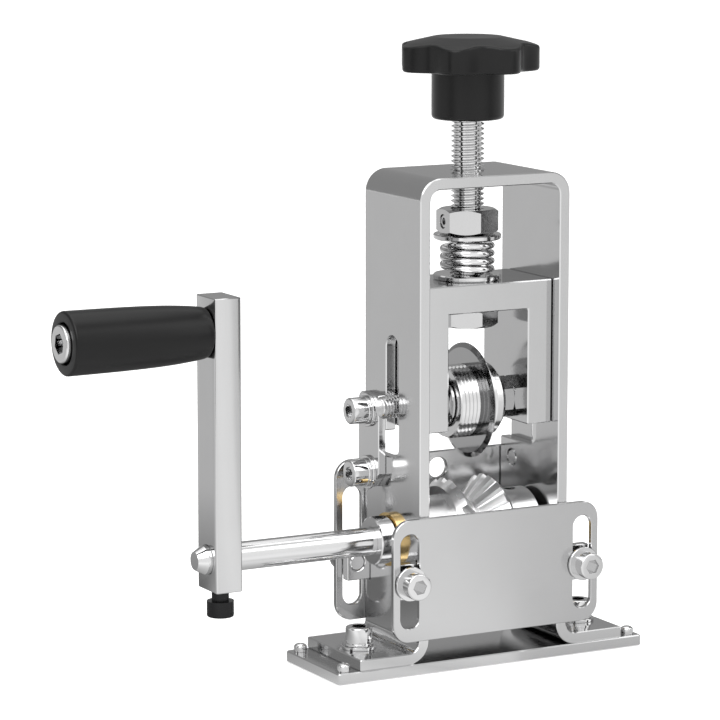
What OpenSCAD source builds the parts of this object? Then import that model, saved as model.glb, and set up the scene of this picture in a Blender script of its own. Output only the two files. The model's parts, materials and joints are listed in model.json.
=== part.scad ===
// Hand crank wire stripper: a bent strap frame on a base plate, with a crank that turns two toothed
// feed wheels and a cutting disc above them that a star knob presses down through a spring.
// Millimetres, +Z up. The origin is at the middle of the base plate's underside, the crank is at -X.

/* [Base] */
// Length of the base plate beyond each foot
base_margin = 8.7; // [7:0.1:20]
// Thickness of the base plate
base_t = 4; // [3:0.5:6]
// Corner radius of the base plate
base_r = 1.2; // [0.8:0.1:3]
// Distance from the plate's end to the corner screws
corner_in_x = 4; // [3.5:0.5:4.5]
// Distance from the plate's long edge to the corner screws
corner_in_y = 3.7; // [3.5:0.1:5]

/* [Frame] */
// Width of the strap that the frame is bent from
strap_w = 40; // [39:1:48]
// Thickness of the strap
strap_t = 4; // [3:0.5:5]
// Clear width between the frame walls
wall_gap = 52; // [52:1:56]
// Height of the frame top above the bench
frame_h = 174; // [172:1:200]
// Length over the two feet
feet_l = 106.6; // [104:0.1:108]
// Inside radius of the strap bends
bend_r = 4; // [3:0.5:6]
// Distance from the middle to each foot screw
foot_screw_x = 45; // [44:0.5:46]
// Distance of the foot screws from the strap's middle line
foot_screw_y = -3.3; // [-5:0.1:0]
// Width of the axle slots in the walls
axle_slot_w = 9; // [8.6:0.1:10]
// Height of the lower end of the axle slots
axle_slot_z0 = 74; // [73:0.1:75]
// Height of the upper end of the axle slots
axle_slot_z1 = 117.2; // [112:0.1:125]
// Height of the side gate that opens each axle slot to the rear
gate_h = 9; // [8.6:0.1:10]

/* [Keeper plates] */
// Thickness of the plates that close the gates
keeper_t = 3; // [2:0.5:4]
// Height of the lower edge of the keeper plates
keeper_z0 = 62; // [61:0.5:63]
// Height of the upper edge of the keeper plates
keeper_z1 = 95.5; // [95:0.5:99]
// Distance from the slot's middle to the keeper's front edge
keeper_y0 = 4.5; // [4.5:0.1:5.5]
// Chamfer of the lower front corner
keeper_chamfer = 5.5; // [2:0.5:5.5]
// Radius of the upper rear corner
keeper_r = 3; // [2:0.5:4]
// Distance from the strap's rear edge to the keeper's rear edge
keeper_inset = 0.6; // [0.3:0.1:1]
// Height of the lower screw above the keeper's lower edge
keeper_screw_rise = 5.2; // [5:0.1:6]
// Distance between the two keeper screws
keeper_pitch = 22.4; // [22:0.1:23]

/* [Guide plates] */
// Length of both guide plates
guide_l = 83; // [82:1:90]
// Thickness of both guide plates
guide_t = 2; // [1.5:0.5:3]
// Corner radius of both guide plates
guide_r = 6.5; // [4:0.5:8]
// Width of the adjusting slots
guide_slot_w = 7.5; // [7:0.1:8]
// Distance from the middle to the adjusting slots
guide_slot_x = 35; // [34.5:0.1:35.5]
// Lower edge of the front plate
front_z0 = 12.7; // [12.5:0.1:14]
// Upper edge of the front plate
front_z1 = 56; // [55:0.1:60]
// Lower edge of the rear plate
rear_z0 = 12; // [12:0.1:14]
// Upper edge of the rear plate
rear_z1 = 70.3; // [70:0.1:72]
// Lower end of the front plate's slots
front_slot_z0 = 17.5; // [17:0.1:20]
// Upper end of the front plate's slots
front_slot_z1 = 51; // [48:0.1:52]
// Lower end of the rear plate's slots
rear_slot_z0 = 17.7; // [17:0.1:20]
// Upper end of the rear plate's slots
rear_slot_z1 = 60.7; // [56:0.1:62]
// Diameter of the wire hole in the rear plate
wire_hole_d = 7.5; // [4:0.5:9]
// Height of the wire hole
wire_hole_z = 64.3; // [62:0.1:65]
// Sideways place of the wire hole
wire_hole_x = 0; // [-3:0.5:3]
// Length of the lugs beyond the frame walls
lug_out = 9; // [8.5:0.1:10]
// Height of the lugs
lug_h = 12.7; // [12:0.1:14]
// Thickness of the lugs
lug_t = 3.7; // [3:0.1:5]
// Height of the guide plate screws
lug_z = 33.7; // [33:0.1:35]

/* [Screws and nuts] */
// Thread diameter of the socket head screws
screw_d = 6; // [5:1:6]
// Head diameter of the socket head screws
head_d = 9.4; // [8.5:0.1:10]
// Head height of the socket head screws
head_h = 5.6; // [5:0.1:7]
// Hexagon socket across its flats
socket_af = 5; // [4:0.5:5]
// Outer diameter of the flat washers
washer_d = 12; // [11:0.5:12.5]
// Thickness of the flat washers
washer_t = 1.1; // [1:0.1:2]
// Thickness of the spring washers
spring_washer_t = 1.1; // [1:0.1:2]
// Outer diameter of the spring washers
spring_washer_d = 10.2; // [9.6:0.1:11]
// Head diameter of the corner screws
corner_head_d = 4.6; // [4:0.1:6]
// Head height of the corner screws
corner_head_h = 3; // [1.6:0.1:3.4]
// Thread diameter of the corner screws
corner_d = 3; // [2.5:0.5:3.5]
// Diameter of the set screws
set_screw_d = 5; // [4:0.5:5]
// Hexagon socket of the set screws across its flats
set_socket_af = 2.5; // [2:0.1:2.5]

/* [Crank] */
// Diameter of the crank shaft
shaft_d = 10; // [9:0.5:10]
// Height of the shaft axis above the bench
shaft_z = 45; // [44.5:0.1:45.3]
// Distance from the middle to the shaft's free end
shaft_out = 107.2; // [106:0.1:115]
// Length of the cone at the free end
shaft_cone_l = 3.2; // [1:0.1:4]
// Diameter left at the tip of the free end
shaft_tip_d = 6.4; // [5.6:0.1:8]
// How far the shaft's free end stands out of the arm
shaft_end_l = 4.8; // [4.2:0.1:8]
// Thickness of the arm along the shaft
arm_t = 10; // [8:0.5:12]
// Width of the arm across the shaft
arm_w = 15; // [14:0.5:18]
// Distance from the shaft axis to the handle axis
throw = 78.8; // [60:0.1:100]
// Arm left below the shaft axis
arm_below = 10.8; // [9:0.1:14]
// Arm left above the handle axis
arm_above = 12.3; // [9:0.1:14]
// Visible neck of the clamp screw below the arm
clamp_neck = 4; // [1:0.1:5]
// Chamfer of the arm's edges
arm_chamfer = 0.5; // [0.3:0.1:1]
// Outer diameter of the shaft collar
collar_d = 17; // [15:0.5:18]
// Width of the shaft collar
collar_w = 6.1; // [5.5:0.1:8]
// Outer diameter of the brass bushes
bush_d = 14; // [13:0.5:15]
// Flange diameter of the brass bushes
flange_d = 19; // [17:0.5:20]
// Flange thickness of the brass bushes
flange_t = 2; // [1.5:0.1:2.5]
// How far the shaft's inner end stands out of its bush
shaft_proud = 0.6; // [0.3:0.1:2]

/* [Handle] */
// Length of the grip
grip_l = 52.1; // [45:0.1:70]
// Diameter of the grip's free end
grip_d = 22; // [18:0.1:24]
// Diameter of the grip at the arm
grip_neck_d = 17.4; // [15:0.1:19]
// Diameter of the handle bolt
bolt_d = 8; // [6:0.5:8]
// Head diameter of the handle bolt
bolt_head_d = 13; // [12:0.5:13]
// Head height of the handle bolt
bolt_head_h = 8; // [6:0.5:9]
// How far the bolt head stands proud of the grip
bolt_proud = 1.6; // [0.5:0.1:2]
// Hexagon socket of the handle bolt across its flats
bolt_socket_af = 6; // [5:0.5:6]
// Diameter of the recess for the bolt head
grip_recess_d = 14.4; // [14:0.1:15]

/* [Feed wheels] */
// Diameter over the teeth
wheel_d = 39.2; // [37:0.1:39.4]
// Length of the toothed cone along the shaft
cone_l = 8; // [7:0.1:8]
// Diameter at the bottom of the groove between the wheels
groove_d = 24.4; // [22:0.1:25]
// Number of teeth on each wheel
teeth = 20; // [16:1:24]
// Tooth depth at the large end
tooth_h = 2.2; // [1.4:0.1:2.4]
// Tooth depth at the small end
tooth_h_in = 1.3; // [0.6:0.1:1.4]
// Width of one tooth gap at the large end
tooth_gap_w = 3.1; // [2.4:0.1:3.4]
// Width of one tooth gap at the small end
tooth_gap_in = 1.7; // [1:0.1:2]
// Width of the plain bottom of the groove on each wheel
groove_flat = 0.6; // [0.3:0.1:1]
// Length of the smooth back cone
back_l = 3.3; // [2:0.1:3.6]
// Diameter at the end of the back cone
back_d = 33.8; // [30:0.1:35]
// Diameter of the hub behind the wheel
hub_d = 27.6; // [22:0.1:28]
// Distance from the middle to the hub's end
hub_out = 24; // [22:0.1:25]
// Distance from the middle to the set screws
hub_screw_x = 17.5; // [16:0.1:19]

/* [Adjuster] */
// Outer diameter of the threaded rod
rod_d = 11.7; // [9.7:0.1:11.9]
// How far the rod's lower end stands out of its nut
rod_tail = 0.5; // [0.2:0.1:2]
// Chamfer at the rod's ends
rod_chamfer = 1; // [0.5:0.1:1.2]
// Height of the knob's underside above the frame
knob_rise = 18; // [16:0.1:30]
// Diameter of the knob's hub
knob_hub_d = 25.5; // [22:0.5:28]
// Height of the knob's hub below the star
knob_hub_h = 16.9; // [10:0.1:20]
// Diameter over the knob's lobes
knob_d = 50; // [45:1:60]
// Height of the star at its rim
knob_rim_h = 8.6; // [7:0.1:12]
// Height of the domed top above the rim
knob_dome_h = 3.3; // [2:0.1:7]
// Diameter of the flat on the domed top
knob_flat_d = 24.4; // [15:0.1:28]
// Number of lobes
lobes = 7; // [5:1:9]
// Depth of the hollows between the lobes
lobe_depth = 4; // [2:0.5:5]
// Turn of the knob's first lobe
lobe_turn = 23; // [0:1:51]
// Nuts on the rod across their flats
rod_nut_af = 19; // [17:0.5:19]
// Height of the upper nut
stop_nut_h = 8.5; // [6:0.1:9]
// Turn of the upper nut on the rod
stop_nut_turn = 26; // [0:1:60]
// Room between the upper nut and the frame top at rest
lift_room = 9.5; // [9.3:0.1:12]
// Height of the lower nut
end_nut_h = 6.3; // [5:0.1:7]
// Outer diameter of the rod washers
rod_washer_d = 24; // [21:0.5:26]
// Thickness of the rod washers
rod_washer_t = 1.9; // [1:0.1:2.5]

/* [Spring] */
// Wire diameter of the spring
wire_d = 2.4; // [1.6:0.1:2.4]
// Outer diameter of the spring
coil_d = 19.5; // [17:0.1:21]
// Number of coils
coils = 3.4; // [2:0.1:3.4]
// Room for the spring between its two washers at rest
spring_room = 12.3; // [12.2:0.1:14]

/* [Slider and blade] */
// Depth of the slider block
slider_w = 31; // [28:0.5:33]
// Height of the slider's lower end at rest
slider_z0 = 84.4; // [84:0.1:85]
// Thickness of the slider's legs and top
slider_t = 10; // [9:0.1:10]
// Height of the blade axle at rest
axle_z = 92.2; // [92:0.1:92.5]
// Diameter of the blade axle
axle_d = 8; // [7:0.5:8]
// Distance from the middle to the axle's ends
axle_out = 35; // [34:0.1:40]
// Length of the smooth tips of the axle
axle_tip_l = 3; // [1:0.1:4]
// Diameter of the smooth tips of the axle
axle_tip_d = 6.4; // [5:0.1:6.8]
// Diameter of the cutting disc
disc_d = 40.8; // [38:0.1:41]
// Thickness of the cutting disc
disc_t = 2; // [1:0.1:2.5]
// Width of the bevel on each side of the cutting edge
bevel_w = 1.7; // [1:0.1:3]
// Thickness of the cutting edge
edge_t = 0.3; // [0.2:0.1:0.5]
// Diameter of the ridged sleeves beside the disc
sleeve_d = 26; // [20:0.5:26]
// Length of the left sleeve
left_sleeve_l = 8.2; // [5:0.1:8.4]
// Length of the right sleeve
right_sleeve_l = 8.7; // [6:0.1:8.7]
// Distance from ridge to ridge on the sleeves
ridge_pitch = 1.5; // [1:0.05:2]
// Depth of the grooves between the ridges
ridge_h = 0.6; // [0.3:0.1:0.8]
// Diameter of the right sleeve's plain end
sleeve_end_d = 22; // [18:0.5:23]
// Nuts on the axle across their flats
axle_nut_af = 13; // [12:0.5:13]
// Outer diameter of the axle washer
axle_washer_d = 18; // [16:0.5:20]

/* [Clearances] */
// Gap between pieces that slide or turn past each other
run_gap = 0.3; // [0.2:0.05:0.4]
// Gap round a shaft, screw or rod in its bore
fit_gap = 0.06; // [0.03:0.01:0.1]

/* [Hidden] */
$fn = 64;
// Cuts run this far past a face.
over = 1;
// Small chamfer that breaks the edges of turned pieces.
edge_break = 0.4;
// Ratio of a hexagon's corners to its flats.
hex = 2 / sqrt(3);
// Depth of a hexagon socket as a share of its head's height.
socket_share = 0.55;
// Tip diameter of a screw as a share of its thread.
tip_share = 0.92;
// Chamfer of a socket screw's head as a share of the head's height.
head_chamfer_share = 0.1;
// Curve of a pan head, as shares of its radius and of its height.
pan_shares = [[1, 0.6], [0.86, 0.84], [0.6, 0.96], [0, 1]];

// Places that follow from the sizes above.
wall_in = wall_gap / 2;
base_l = feet_l + 2 * base_margin;
arm_out = shaft_out - shaft_end_l;
knob_z0 = frame_h + knob_rise;
stop_nut_z = frame_h - strap_t - lift_room - stop_nut_h;
upper_washer_z = stop_nut_z - run_gap - rod_washer_t;
lower_washer_z = upper_washer_z - spring_room - rod_washer_t;
slider_z1 = lower_washer_z;
wall_out = wall_in + strap_t;
bend_out = bend_r + strap_t;
foot_z = base_t + strap_t;
half_w = strap_w / 2;
through = 2 * (wall_out + over);
slot_r = axle_slot_w / 2;
lug_z0 = lug_z - lug_h / 2;
lug_y = half_w - lug_t;
guide_y = half_w + run_gap;
guide_out = guide_y + guide_t;
keeper_out = wall_out + keeper_t;
keeper_y1 = half_w - keeper_inset;
keeper_screw_y = (keeper_y0 + keeper_y1) / 2;
keeper_screw_z = keeper_z0 + keeper_screw_rise;
flange_out = wall_out + flange_t;
arm_z0 = shaft_z - arm_below;
handle_z = shaft_z + throw;
arm_z1 = handle_z + arm_above;
grip_end = arm_out + run_gap + grip_l;
slider_x = wall_in - run_gap;
window_x = slider_x - slider_t + run_gap;
window_z = slider_z1 - slider_t;
rod_z0 = window_z - run_gap - end_nut_h - rod_tail;
spring_z0 = lower_washer_z + rod_washer_t + fit_gap;
spring_z1 = upper_washer_z - fit_gap;
sleeve_x0 = disc_t / 2;
left_sleeve_out = sleeve_x0 + left_sleeve_l;
right_sleeve_out = sleeve_x0 + right_sleeve_l;
axle_washer_in = left_sleeve_out + run_gap;
left_nut_in = axle_washer_in + washer_t;
right_nut_in = right_sleeve_out + run_gap;

// Flat shapes and directions. along_x turns a flat (y, z) shape or a +Z piece to lie along +X.
module along_x(h) {
    rotate([90, 0, 90]) linear_extrude(height = h, center = true) children();
}

module along_y(h) {
    rotate([90, 0, 0]) linear_extrude(height = h, center = true) children();
}

module to_x() {
    rotate([0, 90, 0]) children();
}

module rounded(l, w, r) {
    square([l - 2 * r, w], center = true);
    square([l, w - 2 * r], center = true);
    for (x = [-1, 1])
        for (y = [-1, 1])
            translate([x * (l / 2 - r), y * (w / 2 - r)]) circle(r = r);
}

module slot(w, z0, z1) {
    translate([-w / 2, z0 + w / 2]) square([w, z1 - z0 - w]);
    translate([0, z0 + w / 2]) circle(d = w);
    translate([0, z1 - w / 2]) circle(d = w);
}

module quarter_bend() {
    intersection() {
        difference() {
            circle(r = bend_out);
            circle(r = bend_r);
        }
        square(bend_out);
    }
}

// A turned disc, ring or bush with broken outer edges, from z = 0 up.
module turned(d, bore, h, break_by = edge_break) {
    rotate_extrude()
        polygon([[bore / 2, 0], [d / 2 - break_by, 0], [d / 2, break_by],
            [d / 2, h - break_by], [d / 2 - break_by, h], [bore / 2, h]]);
}

// A socket head screw with its head above z = 0 and its thread below.
module cap_screw(l, d = screw_d, hd = head_d, hh = head_h, af = socket_af) {
    chamfer = hh * head_chamfer_share;
    difference() {
        rotate_extrude()
            polygon([[0, -l], [d * tip_share / 2, -l], [d / 2, edge_break - l], [d / 2, 0],
                [hd / 2 - edge_break / 2, 0], [hd / 2, edge_break / 2],
                [hd / 2, hh - chamfer], [hd / 2 - chamfer, hh], [0, hh]]);
        translate([0, 0, hh * (1 - socket_share)])
            cylinder(d = af * hex, h = hh, $fn = 6);
    }
}

// A headless set screw that lies below z = 0.
module set_screw(l) {
    difference() {
        translate([0, 0, -l]) turned(set_screw_d, 0, l);
        translate([0, 0, -l * socket_share]) cylinder(d = set_socket_af * hex, h = l, $fn = 6);
    }
}

// A split ring from z = 0 up, its cut slanted.
module spring_washer() {
    difference() {
        turned(spring_washer_d, screw_d + 2 * fit_gap, spring_washer_t, edge_break / 2);
        translate([spring_washer_d / 2, 0, spring_washer_t / 2])
            rotate([30, 0, 0])
                cube([spring_washer_d, spring_washer_t / 2, 3 * spring_washer_t], center = true);
    }
}

// A hexagon nut from z = 0 up, its corners chamfered at both ends.
module hex_nut(af, bore, h) {
    chamfer = (af * hex - af) / 2;
    rise = chamfer * tan(30);
    difference() {
        intersection() {
            cylinder(d = af * hex, h = h, $fn = 6);
            rotate_extrude()
                polygon([[0, 0], [af / 2, 0], [af / 2 + chamfer, rise],
                    [af / 2 + chamfer, h - rise], [af / 2, h], [0, h]]);
        }
        translate([0, 0, -over]) cylinder(d = bore, h = h + 2 * over);
    }
}

// Places of the repeated fasteners.
module at_corners() {
    for (x = [-1, 1])
        for (y = [-1, 1])
            translate([x * (base_l / 2 - corner_in_x), y * (half_w - corner_in_y), base_t])
                children();
}

module at_feet() {
    for (x = [-1, 1])
        translate([x * foot_screw_x, foot_screw_y, foot_z]) children();
}

// Turned so that the children's +Z points out of the front or the rear guide plate.
module at_guides() {
    for (x = [-1, 1])
        for (turn = [0, 180])
            rotate([0, 0, turn])
                translate([x * guide_slot_x, -half_w, lug_z]) rotate([90, 0, 0]) children();
}

module at_keepers() {
    for (side = [0, 1])
        mirror([side, 0, 0])
            for (z = [0, keeper_pitch])
                translate([wall_out, keeper_screw_y, keeper_screw_z + z]) to_x() children();
}

module base_plate() color([0.76, 0.77, 0.78]) {
    difference() {
        linear_extrude(height = base_t) rounded(base_l, strap_w, base_r);
        at_corners() cylinder(d = corner_d + 2 * fit_gap, h = 3 * base_t, center = true);
        at_feet() cylinder(d = screw_d + 2 * fit_gap, h = 3 * foot_z, center = true);
    }
}

module base_screws() color([0.7, 0.71, 0.73]) {
    at_corners()
        rotate_extrude()
            polygon(concat([[0, -base_t], [corner_d / 2, -base_t], [corner_d / 2, 0],
                [corner_head_d / 2, 0]],
                [for (s = pan_shares) [corner_head_d / 2 * s[0], corner_head_h * s[1]]]));
}

// The strap's outline, one half: roof, top bend, wall, lower bend and foot.
module strap_half() {
    translate([0, frame_h - strap_t]) square([wall_out - bend_out, strap_t]);
    translate([wall_out - bend_out, frame_h - bend_out]) quarter_bend();
    translate([wall_in, foot_z + bend_r]) square([strap_t, frame_h - bend_out - foot_z - bend_r]);
    translate([wall_out + bend_r, foot_z + bend_r]) rotate(180) quarter_bend();
    translate([wall_out + bend_r, base_t]) square([feet_l / 2 - wall_out - bend_r, strap_t]);
}

module frame() color([0.72, 0.73, 0.75]) {
    notch_y = lug_y - run_gap;
    notch_h = lug_h + 2 * run_gap;
    difference() {
        along_y(strap_w) {
            strap_half();
            mirror([1, 0]) strap_half();
        }
        along_x(through) {
            slot(axle_slot_w, axle_slot_z0, axle_slot_z1);
            translate([0, axle_slot_z0]) square([half_w + over, gate_h]);
            translate([0, shaft_z]) circle(d = bush_d + 2 * fit_gap);
            for (side = [0, 1])
                mirror([side, 0])
                    translate([notch_y, lug_z0 - run_gap]) square([half_w - notch_y + over, notch_h]);
        }
        at_keepers() cylinder(d = screw_d + 2 * fit_gap, h = 3 * strap_t, center = true);
        at_feet() cylinder(d = screw_d + 2 * fit_gap, h = 3 * strap_t, center = true);
        translate([0, 0, frame_h]) cylinder(d = rod_d + 2 * fit_gap, h = 3 * strap_t, center = true);
    }
}

module foot_screws() color([0.75, 0.76, 0.78]) {
    stack = washer_t + spring_washer_t;
    at_feet() translate([0, 0, stack]) cap_screw(stack + foot_z - edge_break);
}

module foot_washers() color([0.75, 0.76, 0.78]) {
    at_feet() turned(washer_d, screw_d + 2 * fit_gap, washer_t, edge_break / 2);
}

module foot_spring_washers() color([0.66, 0.67, 0.7]) {
    at_feet() translate([0, 0, washer_t]) spring_washer();
}

module plate_lugs() color([0.68, 0.69, 0.71]) {
    difference() {
        for (x = [-1, 1])
            for (y = [-1, 1])
                translate([x * (wall_in + wall_out + lug_out) / 2, y * (lug_y + half_w) / 2, lug_z])
                    cube([strap_t + lug_out, lug_t, lug_h], center = true);
        at_guides() cylinder(d = screw_d + 2 * fit_gap, h = 3 * lug_t, center = true);
    }
}

// One guide plate's outline in the x, z plane, with its two adjusting slots.
module guide_outline(z0, z1, slot_z0, slot_z1) {
    difference() {
        translate([0, (z0 + z1) / 2]) rounded(guide_l, z1 - z0, guide_r);
        for (x = [-1, 1])
            translate([x * guide_slot_x, 0]) slot(guide_slot_w, slot_z0, slot_z1);
    }
}

module front_guide_plate() color([0.78, 0.79, 0.8]) {
    translate([0, -guide_y - guide_t / 2, 0])
        along_y(guide_t)
            guide_outline(front_z0, front_z1, front_slot_z0, front_slot_z1);
}

module rear_guide_plate() color([0.74, 0.75, 0.77]) {
    translate([0, guide_y + guide_t / 2, 0])
        difference() {
            along_y(guide_t) guide_outline(rear_z0, rear_z1, rear_slot_z0, rear_slot_z1);
            translate([wire_hole_x, 0, wire_hole_z])
                rotate([90, 0, 0]) cylinder(d = wire_hole_d, h = 3 * guide_t, center = true);
        }
}

module guide_screws() color([0.75, 0.76, 0.78]) {
    stack = guide_out - half_w + run_gap + washer_t;
    at_guides() translate([0, 0, stack]) cap_screw(stack + lug_t);
}

module guide_washers() color([0.75, 0.76, 0.78]) {
    at_guides() translate([0, 0, guide_out - half_w + run_gap])
        turned(washer_d, screw_d + 2 * fit_gap, washer_t, edge_break / 2);
}

module keeper(side) {
    mirror([side, 0, 0])
        difference() {
            translate([wall_out + keeper_t / 2, 0, 0])
                along_x(keeper_t) {
                    polygon([[keeper_y0, keeper_z0 + keeper_chamfer],
                        [keeper_y0 + keeper_chamfer, keeper_z0], [keeper_y1, keeper_z0],
                        [keeper_y1, keeper_z1 - keeper_r], [keeper_y1 - keeper_r, keeper_z1],
                        [keeper_y0, keeper_z1]]);
                    translate([keeper_y1 - keeper_r, keeper_z1 - keeper_r]) circle(r = keeper_r);
                }
            for (z = [0, keeper_pitch])
                translate([wall_out, keeper_screw_y, keeper_screw_z + z])
                    to_x() cylinder(d = screw_d + 2 * fit_gap, h = 3 * keeper_t, center = true);
        }
}

module left_keeper_plate() color([0.74, 0.75, 0.77]) {
    keeper(1);
}

module right_keeper_plate() color([0.74, 0.75, 0.77]) {
    keeper(0);
}

module keeper_screws() color([0.75, 0.76, 0.78]) {
    stack = keeper_t + washer_t + spring_washer_t;
    at_keepers() translate([0, 0, stack]) cap_screw(stack + strap_t);
}

module keeper_washers() color([0.75, 0.76, 0.78]) {
    at_keepers() translate([0, 0, keeper_t])
        turned(washer_d, screw_d + 2 * fit_gap, washer_t, edge_break / 2);
}

module keeper_spring_washers() color([0.66, 0.67, 0.7]) {
    at_keepers() translate([0, 0, keeper_t + washer_t]) spring_washer();
}

module bush(side) {
    mirror([side, 0, 0])
        translate([wall_in, 0, shaft_z])
            to_x() rotate_extrude()
                polygon([[shaft_d / 2 + fit_gap, 0], [bush_d / 2, 0], [bush_d / 2, strap_t],
                    [flange_d / 2, strap_t], [flange_d / 2, strap_t + flange_t],
                    [shaft_d / 2 + fit_gap, strap_t + flange_t]]);
}

module left_bush() color([0.83, 0.66, 0.3]) {
    bush(1);
}

module right_bush() color([0.83, 0.66, 0.3]) {
    bush(0);
}

module crank_shaft() color([0.8, 0.81, 0.82]) {
    length = shaft_out + flange_out + shaft_proud;
    translate([-shaft_out, 0, shaft_z])
        to_x() rotate_extrude()
            polygon([[0, 0], [shaft_tip_d / 2, 0], [shaft_d / 2, shaft_cone_l],
                [shaft_d / 2, length - edge_break], [shaft_d / 2 - edge_break, length],
                [0, length]]);
}

// The square bar that carries the handle, its long edges chamfered.
module crank_arm() color([0.72, 0.73, 0.75]) {
    x = arm_t / 2;
    y = arm_w / 2;
    c = arm_chamfer;
    middle = arm_t / 2 - arm_out;
    difference() {
        translate([middle, 0, arm_z0])
            linear_extrude(height = arm_z1 - arm_z0)
                polygon([[-x, c - y], [c - x, -y], [x - c, -y], [x, c - y],
                    [x, y - c], [x - c, y], [c - x, y], [-x, y - c]]);
        translate([middle, 0, shaft_z]) to_x()
            cylinder(d = shaft_d + 2 * fit_gap, h = 3 * arm_t, center = true);
        translate([middle, 0, handle_z]) to_x()
            cylinder(d = bolt_d + 2 * fit_gap, h = 3 * arm_t, center = true);
        translate([middle, 0, arm_z0 - over])
            cylinder(d = screw_d + 2 * fit_gap, h = arm_below + over);
    }
}

module arm_clamp_screw() color([0.12, 0.12, 0.13]) {
    translate([arm_t / 2 - arm_out, 0, arm_z0 - clamp_neck])
        rotate([180, 0, 0]) cap_screw(clamp_neck + arm_below - shaft_d / 2 - fit_gap);
}

module handle_bolt() color([0.62, 0.63, 0.66]) {
    under_head = grip_end + bolt_proud - bolt_head_h;
    translate([-under_head, 0, handle_z])
        rotate([0, -90, 0])
            cap_screw(under_head - arm_out + arm_t, bolt_d, bolt_head_d, bolt_head_h,
                bolt_socket_af);
}

// The grip swells from its neck at the arm to its free end. Its recess takes the bolt's head.
module handle_grip() color([0.1, 0.1, 0.11]) {
    head_in = bolt_head_h - bolt_proud + run_gap;
    r = grip_d / 2;
    rn = grip_neck_d / 2;
    swell = r - rn;
    round_off = 0.6;
    swell_shares = [[0.05, 0.2], [0.11, 0.36], [0.17, 0.49], [0.24, 0.62], [0.34, 0.75],
        [0.45, 0.84], [0.6, 0.92], [0.8, 0.97]];
    translate([-arm_out - run_gap, 0, handle_z])
        rotate([0, -90, 0]) rotate_extrude()
            polygon(concat([[bolt_d / 2 + fit_gap, 0], [rn - round_off, 0], [rn, round_off]],
                [for (s = swell_shares) [rn + swell * s[1], grip_l * s[0]]],
                [[r, grip_l - round_off], [r - round_off, grip_l], [grip_recess_d / 2, grip_l],
                    [grip_recess_d / 2, grip_l - head_in], [bolt_d / 2 + fit_gap, grip_l - head_in]]));
}

// One feed wheel: a toothed cone towards the middle, a smooth back cone and a long hub.
// Each tooth gap lies between two flanks that spread towards the rim, and gets deeper towards it.
module feed_wheel(side) {
    bore = shaft_d / 2 + fit_gap;
    rg = groove_d / 2;
    rw = wheel_d / 2;
    face_l = sqrt(pow(cone_l - groove_flat, 2) + pow(rw - rg, 2));
    face_angle = atan((rw - rg) / (cone_l - groove_flat));
    tilt = asin((tooth_h - tooth_h_in) / face_l);
    spread = atan((tooth_gap_w - tooth_gap_in) / 2 / face_l);
    depth = (tooth_h + tooth_h_in) / 2;
    half_gap = (tooth_gap_w + tooth_gap_in) / 4;
    root_share = 0.7;
    slope = half_gap * (1 - root_share);
    mirror([side, 0, 0])
        translate([0, 0, shaft_z])
            to_x() difference() {
                rotate_extrude()
                    polygon([[bore, fit_gap], [rg, fit_gap], [rg, groove_flat], [rw, cone_l],
                        [back_d / 2, cone_l + back_l], [hub_d / 2, cone_l + back_l],
                        [hub_d / 2, hub_out - edge_break], [hub_d / 2 - edge_break, hub_out],
                        [bore, hub_out]]);
                for (i = [0 : teeth - 1])
                    rotate([0, 0, i * 360 / teeth])
                        translate([(rg + rw) / 2, 0, (groove_flat + cone_l) / 2])
                            rotate([0, face_angle - tilt, 0])
                                intersection_for(flank = [0, 1])
                                    mirror([0, flank, 0])
                                        rotate([-spread, 0, 0])
                                            linear_extrude(height = 2 * face_l, center = true)
                                                polygon([[-depth, -face_l],
                                                    [-depth, half_gap - slope],
                                                    [depth, half_gap + slope],
                                                    [depth, -face_l]]);
                translate([-hub_d / 2, 0, hub_screw_x])
                    rotate([0, 90, 0])
                        cylinder(d = set_screw_d + 2 * fit_gap, h = hub_d - shaft_d, center = true);
            }
}

module left_feed_wheel() color([0.78, 0.79, 0.8]) {
    feed_wheel(1);
}

module right_feed_wheel() color([0.78, 0.79, 0.8]) {
    feed_wheel(0);
}

module feed_wheel_set_screws() color([0.1, 0.1, 0.11]) {
    length = (hub_d - shaft_d) / 2 - edge_break - fit_gap;
    for (x = [-1, 1])
        translate([x * hub_screw_x, 0, shaft_z + hub_d / 2 - edge_break]) set_screw(length);
}

module shaft_collar() color([0.76, 0.77, 0.79]) {
    start = flange_out + run_gap;
    difference() {
        mirror([1, 0, 0])
            translate([start, 0, shaft_z])
                to_x() turned(collar_d, shaft_d + 2 * fit_gap, collar_w);
        translate([-start - collar_w / 2, 0, shaft_z])
            cylinder(d = set_screw_d + 2 * fit_gap, h = collar_d);
    }
}

module collar_set_screw() color([0.1, 0.1, 0.11]) {
    length = (collar_d - shaft_d) / 2 - fit_gap - edge_break / 2;
    translate([-flange_out - run_gap - collar_w / 2, 0, shaft_z + collar_d / 2 - edge_break / 2])
        set_screw(length);
}

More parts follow.
